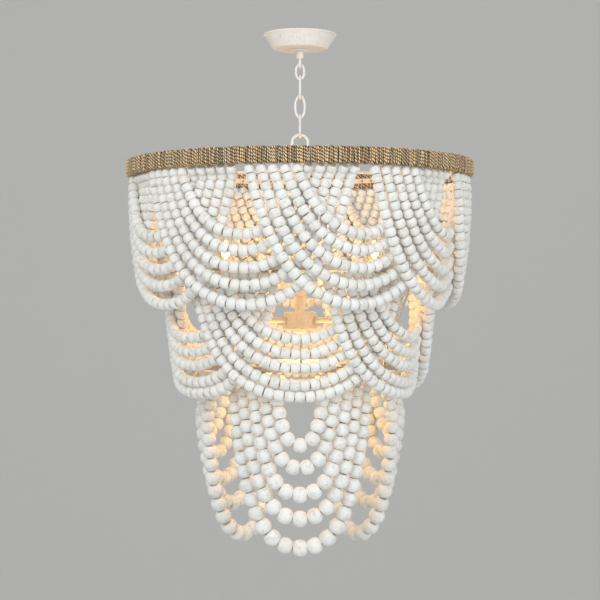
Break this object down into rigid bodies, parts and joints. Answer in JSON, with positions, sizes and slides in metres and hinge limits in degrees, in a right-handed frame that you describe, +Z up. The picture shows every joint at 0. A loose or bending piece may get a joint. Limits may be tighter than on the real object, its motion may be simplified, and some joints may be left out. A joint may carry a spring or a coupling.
{
  "type": "beaded chandelier",
  "caption": "Ceiling chandelier: a canopy and short chain carry a rope-wrapped ring, tiers of draped strings of wooden beads and a candle-arm light inside.",
  "frame": {"origin": "centre of the mounting strap's flat top, where the chandelier meets the ceiling", "axes": "+Z up along the chain and stem, -Y towards the viewer, +X to the right"},
  "size_m": [0.61, 0.61, 0.9003],
  "materials": {
    "enamel": "satin antique white paint, worn with small dark specks",
    "steel": "plain satin steel",
    "rope": "tightly wound twisted natural cord",
    "bead": "matte whitewashed wood, slightly pitted",
    "candle": "matte ivory candle sleeve",
    "socket": "plain dark lamp socket",
    "bulb": "clear warm lit glass"
  },
  "bodies": {
    "ceiling": {"mounting_strap": "steel", "canopy": "enamel", "threaded_nipple": "steel", "collar_ring": "enamel", "collar_loop": "enamel"},
    "link_1": {"chain_link_1": "enamel"},
    "link_2": {"chain_link_2": "enamel"},
    "link_3": {"chain_link_3": "enamel"},
    "link_4": {"chain_link_4": "enamel"},
    "shade": {"frame_loop": "enamel", "top_spider": "enamel", "rope_wrap": "rope", "top_hoop": "steel", "bead_rail": "enamel", "middle_hoop": "steel", "lower_hoop": "steel", "upper_hanger_1": "steel", "upper_hanger_2": "steel", "upper_hanger_3": "steel", "lower_hanger_1": "steel", "lower_hanger_2": "steel", "lower_hanger_3": "steel", "stem_tube": "enamel", "stem_sleeve": "enamel", "light_hub": "enamel", "hub_cap": "enamel", "arm_1": "enamel", "arm_2": "enamel", "arm_3": "enamel", "drip_cup_1": "enamel", "drip_cup_2": "enamel", "drip_cup_3": "enamel", "candle_sleeve_1": "candle", "candle_sleeve_2": "candle", "candle_sleeve_3": "candle", "socket_1": "socket", "socket_2": "socket", "socket_3": "socket", "upper_swag_1": "bead", "upper_swag_2": "bead", "upper_swag_3": "bead", "upper_swag_4": "bead", "upper_swag_5": "bead", "upper_swag_6": "bead", "upper_swag_7": "bead", "upper_swag_8": "bead", "upper_swag_9": "bead", "middle_swag_1": "bead", "middle_swag_2": "bead", "middle_swag_3": "bead", "middle_swag_4": "bead", "middle_swag_5": "bead", "middle_swag_6": "bead", "lower_swag_1": "bead", "lower_swag_2": "bead", "lower_swag_3": "bead"},
    "bulb_a": {"bulb_1": "bulb"},
    "bulb_b": {"bulb_2": "bulb"},
    "bulb_c": {"bulb_3": "bulb"}
  },
  "joints": [
    {"name": "link_1_swing", "type": "hinge", "parent": "ceiling", "child": "link_1", "pos_m": [0, 0, -0.0587], "axis": [0, 1, 0], "range_deg": [-14, 14]},
    {"name": "link_2_swing", "type": "hinge", "parent": "link_1", "child": "link_2", "pos_m": [0, 0, -0.0796], "axis": [1, 0, 0], "range_deg": [-14, 14]},
    {"name": "link_3_swing", "type": "hinge", "parent": "link_2", "child": "link_3", "pos_m": [0, 0, -0.1138], "axis": [0, 1, 0], "range_deg": [-14, 14]},
    {"name": "link_4_swing", "type": "hinge", "parent": "link_3", "child": "link_4", "pos_m": [0, 0, -0.148], "axis": [1, 0, 0], "range_deg": [-14, 14]},
    {"name": "shade_swing", "type": "hinge", "parent": "link_4", "child": "shade", "pos_m": [0, 0, -0.1822], "axis": [0, 1, 0], "range_deg": [-14, 14]},
    {"name": "bulb_1_removal", "type": "slide", "parent": "shade", "child": "bulb_a", "axis": [0, 0, 1], "range_m": [0, 0.03]},
    {"name": "bulb_2_removal", "type": "slide", "parent": "shade", "child": "bulb_b", "axis": [0, 0, 1], "range_m": [0, 0.03]},
    {"name": "bulb_3_removal", "type": "slide", "parent": "shade", "child": "bulb_c", "axis": [0, 0, 1], "range_m": [0, 0.03]}
  ]
}
